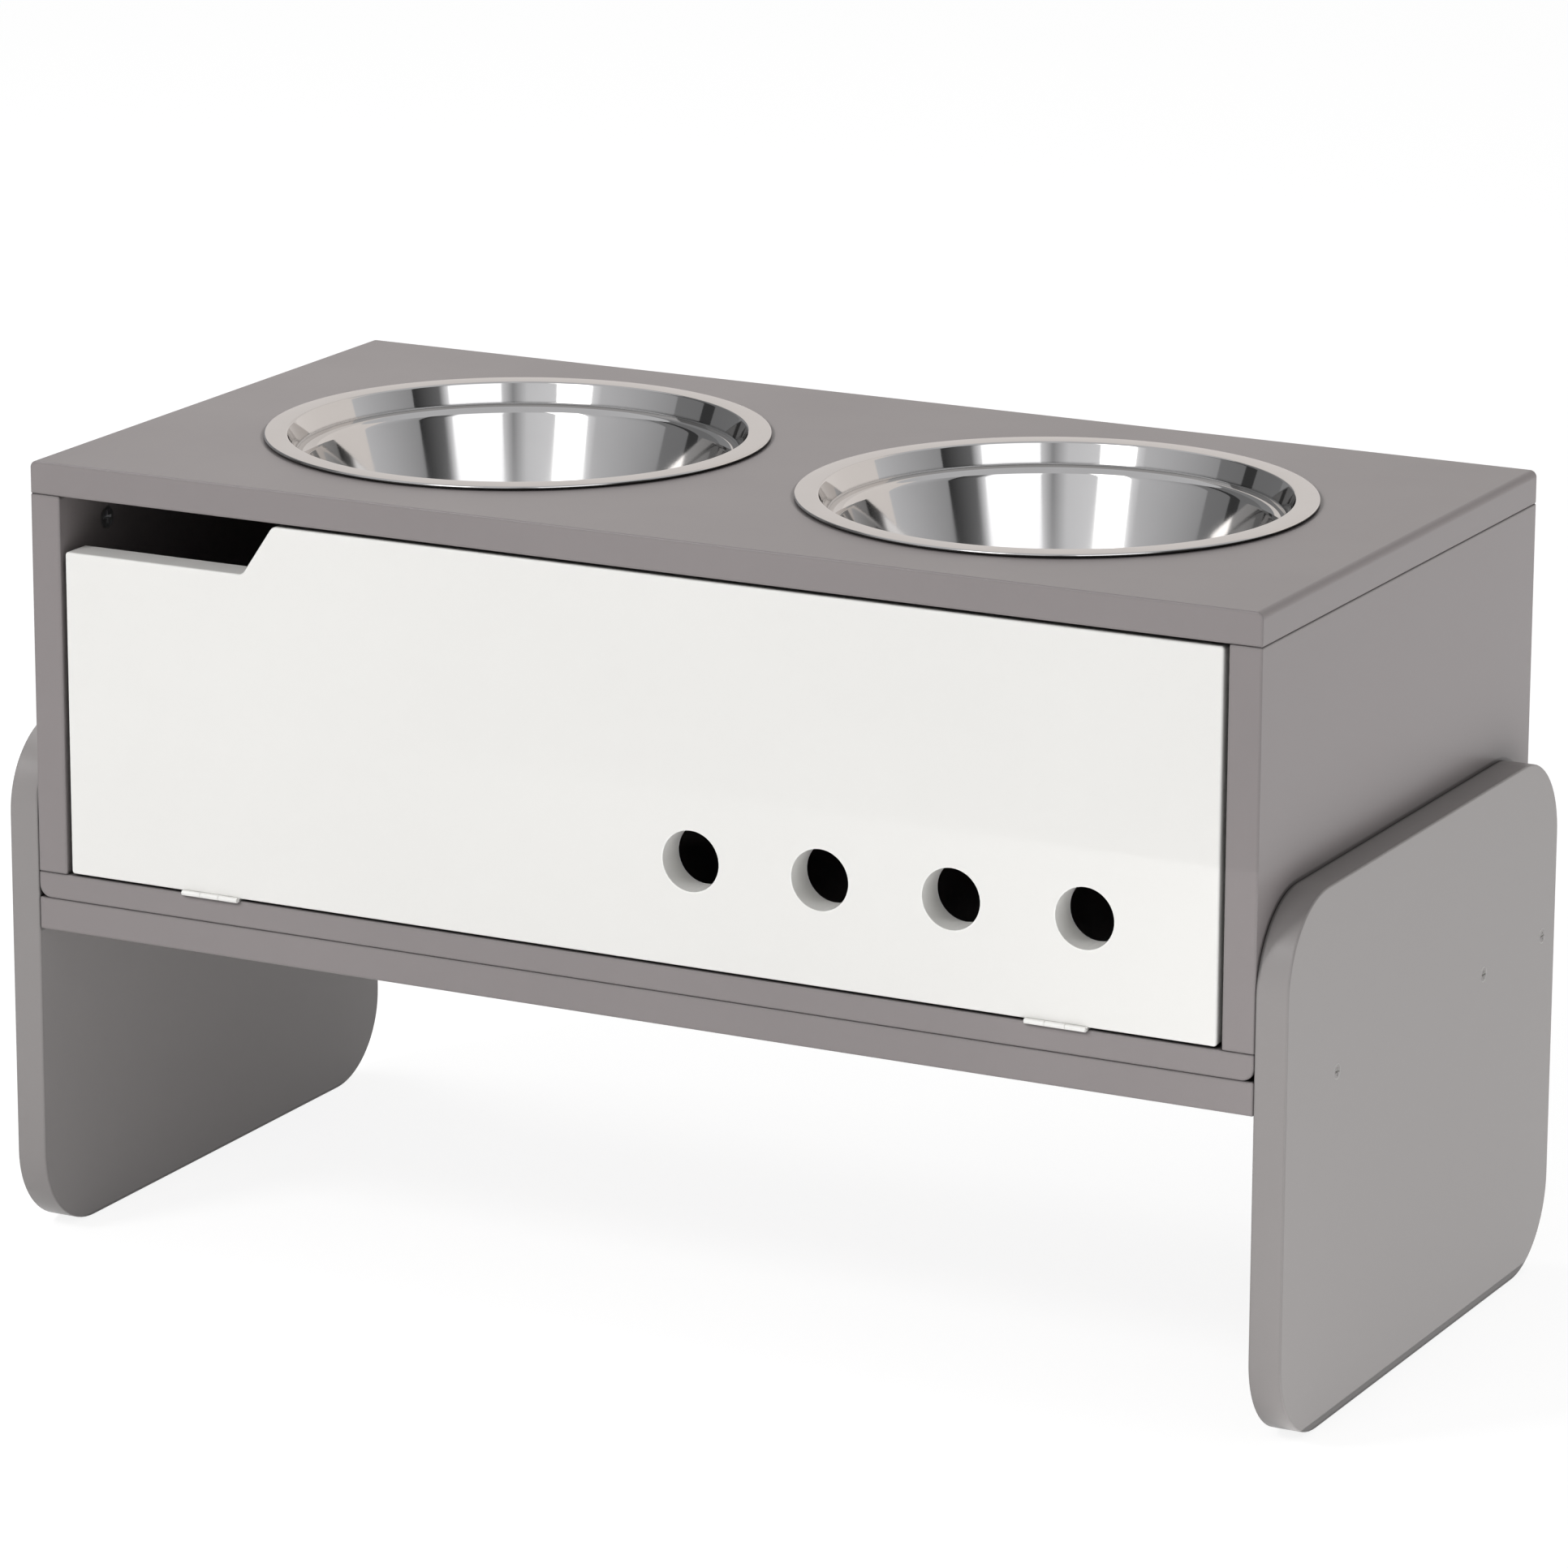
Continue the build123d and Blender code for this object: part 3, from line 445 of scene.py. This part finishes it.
def plated_metal(name, colour, roughness, lumps_per_metre, lump_height):
    """A plated or cast metal fitting: slow drift in its tone, and a skin of small lumps."""
    material, tree, surface = new_material(name)
    link = tree.links.new
    drift = place_group(tree, MOTTLE, Patches_per_metre=90.0, Detail=6.0)
    skin = place_group(tree, PAINT_SKIN, Peel_per_metre=lumps_per_metre, Nibs_per_metre=500.0)
    wear_and_highlight = place_group(tree, EDGE_WEAR_AND_HIGHLIGHT, Reach=0.0004, Amount=0.6)
    plated = mix_colours(tree, drift.outputs["Drift"], shade(colour, 0.85), shade(colour, 1.1))
    bright = mix_colours(tree, wear_and_highlight.outputs["Mask"], plated, shade(colour, 1.4))
    sheen = ranged(tree, drift.outputs["Drift"], roughness - 0.06, roughness + 0.08)
    link(bright, surface.inputs["Base Color"])
    link(sheen, surface.inputs["Roughness"])
    surface.inputs["Metallic"].default_value = 1.0
    link(bump(tree, skin.outputs["Height"], distance=lump_height, strength=0.6), surface.inputs["Normal"])
    return material


def painted_screw(name, paint, cross_highlight):
    """A screw head touched in with the board's paint, and a painted highlight down in its cross."""
    material, tree, surface = new_material(name)
    link = tree.links.new
    drift = place_group(tree, MOTTLE, Patches_per_metre=400.0)
    recess = place_group(tree, SHADE_MASK, Gap=0.0012, Open=0.75, Shut=0.45)
    coat = mix_colours(tree, drift.outputs["Drift"], shade(paint, 0.88), shade(paint, 1.04))
    # a pale painted highlight where the cross recess is shaded
    head = mix_colours(tree, recess.outputs["Mask"], coat, cross_highlight)
    link(head, surface.inputs["Base Color"])
    link(ranged(tree, recess.outputs["Mask"], 0.5, 0.3), surface.inputs["Roughness"])
    link(bump(tree, drift.outputs["Drift"], distance=0.00003, strength=0.5), surface.inputs["Normal"])
    return material


def moulded_plastic(name, colour, roughness):
    """A small moulding with a spark-eroded texture."""
    material, tree, surface = new_material(name)
    link = tree.links.new
    drift = place_group(tree, MOTTLE, Patches_per_metre=60.0)
    skin = place_group(tree, PAINT_SKIN, Peel_per_metre=5200.0, Nibs_per_metre=900.0)
    wear_and_highlight = place_group(tree, EDGE_WEAR_AND_HIGHLIGHT, Reach=0.0003, Amount=0.4)
    body = mix_colours(tree, drift.outputs["Drift"], shade(colour, 0.96), shade(colour, 1.03))
    rubbed_and_highlit = mix_colours(tree, wear_and_highlight.outputs["Mask"], body, shade(colour, 1.12))
    matt = ranged(tree, drift.outputs["Drift"], roughness - 0.04, roughness + 0.06)
    link(rubbed_and_highlit, surface.inputs["Base Color"])
    link(matt, surface.inputs["Roughness"])
    link(bump(tree, skin.outputs["Height"], distance=0.00002, strength=0.5), surface.inputs["Normal"])
    return material


def fluted_beech(name):
    """Pale beech with its short dark flecks along the peg."""
    material, tree, surface = new_material(name)
    link = tree.links.new
    grain = place_group(tree, LONG_GRAIN, Stretch_Z=0.12, Streaks_per_metre=1500.0)
    drift = place_group(tree, MOTTLE, Patches_per_metre=180.0)
    timber = mix_colours(tree, grain.outputs["Streak"], linear(BEECH_DARK), linear(BEECH_PALE))
    patches = ranged(tree, drift.outputs["Drift"], 0.0, 0.35)
    toned = mix_colours(tree, patches, timber, linear(BEECH_TONED))
    link(toned, surface.inputs["Base Color"])
    link(ranged(tree, grain.outputs["Streak"], 0.72, 0.55), surface.inputs["Roughness"])
    link(bump(tree, grain.outputs["Streak"], distance=0.00008, strength=0.6), surface.inputs["Normal"])
    return material


# The pale arrises of these paints are a painted highlight, and their dark seams and gaps painted shade.
cupboard_paint = painted_board(
    "grey cupboard paint", linear(GREY), roughness=0.33, peel=900.0, worn_and_highlit=0.5, uneven=0.02, seams=1.0)
leg_paint = painted_board(
    "grey leg paint", linear(LEG_GREY), roughness=0.33, peel=900.0, worn_and_highlit=0.5, uneven=0.02, seams=1.0)
door_paint = painted_board(
    "white door paint", linear(WHITE), roughness=0.3, peel=700.0, worn_and_highlit=1.0, uneven=0.006, seams=0.0)
back_paint = thin_fibreboard("grey back board", shade(linear(GREY), 0.95))
peg_timber = fluted_beech("beech pegs")
bowl_steel = mirror_steel("polished bowl steel")
hinge_coat = moulded_plastic("white hinge coat", linear(HINGE_WHITE), roughness=0.35)
bright_screws = plated_metal(
    "nickel screws", NICKEL, roughness=0.24, lumps_per_metre=3800.0, lump_height=0.00001)
leg_screw_heads = painted_screw(
    "painted screw heads", paint=shade(linear(LEG_GREY), 0.92), cross_highlight=linear(SCREW_CROSS_HIGHLIGHT))
zinc_steel = plated_metal(
    "zinc plated steel", ZINC_PLATE, roughness=0.30, lumps_per_metre=2600.0, lump_height=0.00001)
cast_zinc = plated_metal(
    "cast zinc", CAST_ZINC, roughness=0.42, lumps_per_metre=1700.0, lump_height=0.00004)
catch_plastic = moulded_plastic("white catch plastic", linear(CATCH_WHITE), roughness=0.42)
magnet_ceramic = moulded_plastic("grey magnet", linear(MAGNET_GREY), roughness=0.6)

FINISHES = {
    cupboard_paint: ("top_panel", "side_panel_left", "side_panel_right", "cabinet_floor", "base_board"),
    leg_paint: ("leg_left", "leg_right"),
    door_paint: ("door_panel",),
    back_paint: ("back_panel",),
    peg_timber: ("dowels",),
    hinge_coat: (
        "hinge_left_floor_leaf", "hinge_left_door_leaf", "hinge_left_pin",
        "hinge_right_floor_leaf", "hinge_right_door_leaf", "hinge_right_pin",
    ),
    leg_screw_heads: ("leg_screws",),
    bright_screws: (
        "base_screws", "hinge_floor_screws", "hinge_door_screws", "catch_screws",
        "strike_screw", "cam_bolts",
    ),
    zinc_steel: ("strike_plate", "catch_pole_plates"),
    cast_zinc: ("cam_locks",),
    catch_plastic: ("catch_housing",),
    magnet_ceramic: ("catch_magnet",),
}


def dress(finish, piece_names):
    """Gives the named pieces their finish."""
    for piece_name in piece_names:
        mesh = nodes[piece_name].data
        mesh.materials.clear()
        mesh.materials.append(finish)


for finish, piece_names in FINISHES.items():
    dress(finish, piece_names)


# ---------------------------------------------------------------- bowls
def eased(corners):
    """Points along a section whose corners, given as (radius, height, round), are rounded."""
    points = []
    for k, (radius, height, rounding) in enumerate(corners):
        here = Vector((radius, height))
        if rounding == 0.0:
            points.append(here)
            continue
        to_last = (Vector(corners[k - 1][:2]) - here).normalized()
        to_next = (Vector(corners[k + 1][:2]) - here).normalized()
        half_angle = to_last.angle(to_next) / 2
        middle = here + (to_last + to_next).normalized() * (rounding / math.sin(half_angle))
        start = here + to_last * (rounding / math.tan(half_angle)) - middle
        sweep = start.angle_signed(here + to_next * (rounding / math.tan(half_angle)) - middle)
        for step in range(ROUND_STEPS + 1):
            points.append(middle + Matrix.Rotation(-sweep * step / ROUND_STEPS, 2) @ start)
    return points


def bowl_face(offset):
    """Corners of the inner face of the bowl, or of its outer face with the sheet as offset."""
    throat = RIM_RADIUS - FLANGE_WIDTH + offset
    band_foot_radius = throat - BAND_TAPER
    wall_radius = band_foot_radius - STEP_IN
    band_foot = RIM_TOP - BAND_DROP
    base = RIM_TOP - BOWL_DEPTH - offset
    return [
        (0.0, base, 0.0),
        (wall_radius - WALL_TAPER, base, BASE_ROUND + offset),
        (wall_radius, band_foot - STEP_DROP, STEP_ROUND - offset),
        (band_foot_radius, band_foot, BEND + offset),
        (throat, RIM_TOP - offset, BEND - offset),
    ]


def bowl_section():
    """The pressed sheet in section, from the middle of its inside round the hem to its underside."""
    hem_round = HEM_THICKNESS / 2
    hem_inner = RIM_RADIUS - HEM_WIDTH
    rim = [
        (RIM_RADIUS, RIM_TOP, hem_round),
        (RIM_RADIUS, RIM_TOP - HEM_THICKNESS, hem_round),
        (hem_inner, RIM_TOP - HEM_THICKNESS, hem_round),
        (hem_inner, RIM_TOP - SHEET, 0.0),
    ]
    return eased(bowl_face(0.0) + rim + bowl_face(SHEET)[::-1])


def spin_bowl(side):
    """One bowl, turned about its own axis in fine steps so that its mirror runs clean."""
    low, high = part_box(f"bowl_{side}")
    section = bowl_section()
    mesh = bpy.data.meshes.new(f"bowl_shell_{side}")
    made = bmesh.new()
    middle_top = made.verts.new((0.0, 0.0, section[0][1]))
    middle_under = made.verts.new((0.0, 0.0, section[-1][1]))
    rings = []
    for step in range(BOWL_STEPS):
        turn = 2 * math.pi * step / BOWL_STEPS
        rings.append([
            made.verts.new((radius * math.cos(turn), radius * math.sin(turn), height))
            for radius, height in section[1:-1]
        ])
    for ring, following in zip(rings, rings[1:] + rings[:1]):
        made.faces.new((middle_top, ring[0], following[0]))
        made.faces.new((middle_under, following[-1], ring[-1]))
        for k in range(len(ring) - 1):
            made.faces.new((ring[k], ring[k + 1], following[k + 1], following[k]))
    bmesh.ops.recalc_face_normals(made, faces=made.faces)
    for face in made.faces:
        face.smooth = True
    made.to_mesh(mesh)
    made.free()
    mesh.materials.append(bowl_steel)
    shell = bpy.data.objects.new(f"bowl_shell_{side}", mesh)
    shell.location = ((low[0] + high[0]) / 2, (low[1] + high[1]) / 2, 0.0)
    bpy.context.scene.collection.objects.link(shell)
    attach(shell, f"bowl_{side}")
    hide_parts(f"bowl_{side}")
    return shell


BOWL_SHELLS = [spin_bowl(side) for side in ("left", "right")]


# ---------------------------------------------------------------- studio
def seen_directly(tree):
    """1 for what the camera, a mirror or clear glass sees, 0 for light that falls on the feeder."""
    path = add_node(tree, "ShaderNodeLightPath")
    either = add_node(tree, "ShaderNodeMath", operation="MAXIMUM")
    any_of = add_node(tree, "ShaderNodeMath", operation="MAXIMUM")
    tree.links.new(path.outputs["Is Camera Ray"], either.inputs[0])
    tree.links.new(path.outputs["Is Glossy Ray"], either.inputs[1])
    tree.links.new(either.outputs["Value"], any_of.inputs[0])
    tree.links.new(path.outputs["Is Transmission Ray"], any_of.inputs[1])
    return any_of.outputs["Value"]


def light_the_room(strength):
    """An even white room: full white where it is seen, and the given strength as light."""
    world = bpy.data.worlds.new("studio room")
    world.use_nodes = True
    bpy.context.scene.world = world
    tree = world.node_tree
    tree.nodes.clear()
    falling = add_node(tree, "ShaderNodeBackground", {"Color": PLAIN_WHITE, "Strength": strength})
    seen = add_node(tree, "ShaderNodeBackground", {"Color": PLAIN_WHITE, "Strength": 1.0})
    either = add_node(tree, "ShaderNodeMixShader")
    output = add_node(tree, "ShaderNodeOutputWorld")
    tree.links.new(seen_directly(tree), either.inputs[0])
    tree.links.new(falling.outputs[0], either.inputs[1])
    tree.links.new(seen.outputs[0], either.inputs[2])
    tree.links.new(either.outputs[0], output.inputs["Surface"])


def lay_floor():
    """A white floor that is nearly paper white where it is seen and keeps a faint shadow."""
    half = FLOOR_SIZE / 2
    corners = [(-half, -half, 0), (half, -half, 0), (half, half, 0), (-half, half, 0)]
    mesh = bpy.data.meshes.new("studio_floor")
    mesh.from_pydata(corners, [], [(0, 1, 2, 3)])
    floor = bpy.data.objects.new("studio_floor", mesh)
    bpy.context.scene.collection.objects.link(floor)
    material, tree, surface = new_material("white floor")
    seen = seen_directly(tree)
    link = tree.links.new
    link(mix_colours(tree, seen, FLOOR_AS_LIGHT, FLOOR_AS_SEEN), surface.inputs["Base Color"])
    link(ranged(tree, seen, 0.0, FLOOR_GLOW), surface.inputs["Emission Strength"])
    surface.inputs["Emission Color"].default_value = PLAIN_WHITE
    surface.inputs["Roughness"].default_value = 0.9
    surface.inputs["Specular IOR Level"].default_value = 0.0
    mesh.materials.append(material)


def leave_out(name, pieces):
    """A collection that keeps the pieces in it out of a lamp's light."""
    left_out = bpy.data.collections.new(name)
    for piece in pieces:
        left_out.objects.link(piece)
    for linked in left_out.collection_objects:
        linked.light_linking.link_state = "EXCLUDE"
    return left_out


UNLIT_BOWLS = leave_out("unlit bowls", BOWL_SHELLS)


def round_the_feeder(azimuth, distance, height):
    """A point on a circle round the feeder; azimuth is in degrees from the front to the right."""
    turn = math.radians(azimuth)
    return Vector((distance * math.sin(turn), -distance * math.cos(turn), height))


def area_lamp(name, place, width, height, power):
    """A soft box that faces the feeder."""
    data = bpy.data.lights.new(name, "AREA")
    data.shape = "RECTANGLE"
    data.size = width
    data.size_y = height
    data.energy = power
    lamp = bpy.data.objects.new(name, data)
    lamp.visible_camera = False
    lamp.location = place
    lamp.rotation_euler = (Vector(LAMP_TARGET) - place).to_track_quat("-Z", "Y").to_euler()
    bpy.context.scene.collection.objects.link(lamp)
    return lamp


def keep_off_bowls(lamp):
    """Lets a soft box light everything but the bowls, so that their mirror shows only the cards."""
    lamp.light_linking.receiver_collection = UNLIT_BOWLS


def lay_bounce(name, middle, width, depth, power):
    """A lamp that lies on the floor and shines up, as a lit white floor does."""
    lamp = area_lamp(name, Vector((*middle, BOUNCE_LEVEL)), width, depth, power)
    lamp.rotation_euler = (math.pi, 0.0, 0.0)
    lamp.visible_glossy = False


def card_material():
    """A card that shows its own painted brightness in a mirror."""
    material = bpy.data.materials.new("studio card")
    material.use_nodes = True
    tree = material.node_tree
    tree.nodes.clear()
    tone = add_node(tree, "ShaderNodeAttribute", attribute_name="tone")
    glow = add_node(tree, "ShaderNodeEmission")
    output = add_node(tree, "ShaderNodeOutputMaterial")
    tree.links.new(tone.outputs["Color"], glow.inputs["Color"])
    tree.links.new(glow.outputs[0], output.inputs["Surface"])
    return material


CARD_PAINT = card_material()


def stage_card(name, corners, faces, tones, tint):
    """A card that only polished and glossy surfaces see, painted with a tone at each corner."""
    mesh = bpy.data.meshes.new(name)
    mesh.from_pydata(corners, [], faces)
    painted = mesh.color_attributes.new("tone", "FLOAT_COLOR", "POINT")
    for point, tone in zip(painted.data, tones):
        point.color = (*(tone * part for part in tint), 1.0)
    mesh.materials.append(CARD_PAINT)
    card = bpy.data.objects.new(name, mesh)
    bpy.context.scene.collection.objects.link(card)
    for ray in ("camera", "diffuse", "transmission", "shadow", "volume_scatter"):
        setattr(card, f"visible_{ray}", False)


def stand_card(name, start, end, start_tone, end_tone, tint):
    """An upright curved card between two azimuths, its tone running evenly across it."""
    panels = max(1, round((end - start) / CARD_PANEL))
    corners, tones = [], []
    for k in range(panels + 1):
        azimuth = start + (end - start) * k / panels
        corners += [round_the_feeder(azimuth, CARD_RADIUS, height) for height in (CARD_FOOT, CARD_TOP)]
        tones += [start_tone + (end_tone - start_tone) * k / panels] * 2
    faces = [(2 * k, 2 * k + 2, 2 * k + 3, 2 * k + 1) for k in range(panels)]
    stage_card(name, corners, faces, tones, tint)


def hang_ceiling_card(name, tone):
    """A flat card over the whole ring of cards."""
    reach = CARD_RADIUS * math.sqrt(2)
    corners = [round_the_feeder(azimuth, reach, CARD_TOP) for azimuth in (45, 135, 225, 315)]
    stage_card(name, corners, [(0, 1, 2, 3)], [tone] * 4, COOL)


def camera_pose():
    """Where the camera stands and how it is turned."""
    yaw, pitch, roll = (math.radians(a) for a in (CAMERA_YAW, CAMERA_PITCH, CAMERA_ROLL))
    turn = (Matrix.Rotation(yaw, 4, "Z") @ Matrix.Rotation(math.pi / 2 - pitch, 4, "X")
            @ Matrix.Rotation(roll, 4, "Z"))
    return Matrix.Translation(CAMERA_PLACE) @ turn


def set_camera():
    """The one camera, in its place and in use."""
    data = bpy.data.cameras.new("studio_camera")
    data.lens = CAMERA_LENS
    data.sensor_width = CAMERA_SENSOR
    data.clip_start = CAMERA_NEAR
    data.clip_end = CAMERA_FAR
    camera = bpy.data.objects.new("studio_camera", data)
    camera.matrix_world = camera_pose()
    bpy.context.scene.collection.objects.link(camera)
    bpy.context.scene.camera = camera


light_the_room(ROOM_LIGHT)
lay_floor()
for card in BACK_CARDS:
    stand_card(*card, WARM)
for card in SIDE_CARDS:
    stand_card(*card, COOL)
hang_ceiling_card("ceiling_card", CEILING_TONE)
area_lamp(
    "front_window", round_the_feeder(azimuth=-5.5, distance=2.8, height=1.9),
    width=0.94, height=2.6, power=FRONT_WINDOW_POWER)
key_box = area_lamp(
    "key_box", round_the_feeder(azimuth=-34, distance=1.9, height=1.75),
    width=0.5, height=0.5, power=KEY_POWER)
left_box = area_lamp(
    "left_box", round_the_feeder(azimuth=-100, distance=2.0, height=2.2),
    width=1.6, height=1.2, power=LEFT_BOX_POWER)
for lamp in (key_box, left_box):
    keep_off_bowls(lamp)
lay_bounce("right_bounce", middle=(1.41, 0.0), width=2.2, depth=3.2, power=RIGHT_BOUNCE_POWER)
lay_bounce("front_bounce", middle=(0.0, -0.5), width=1.6, depth=0.6, power=FRONT_BOUNCE_POWER)
set_camera()
bpy.context.scene.view_settings.view_transform = "Standard"
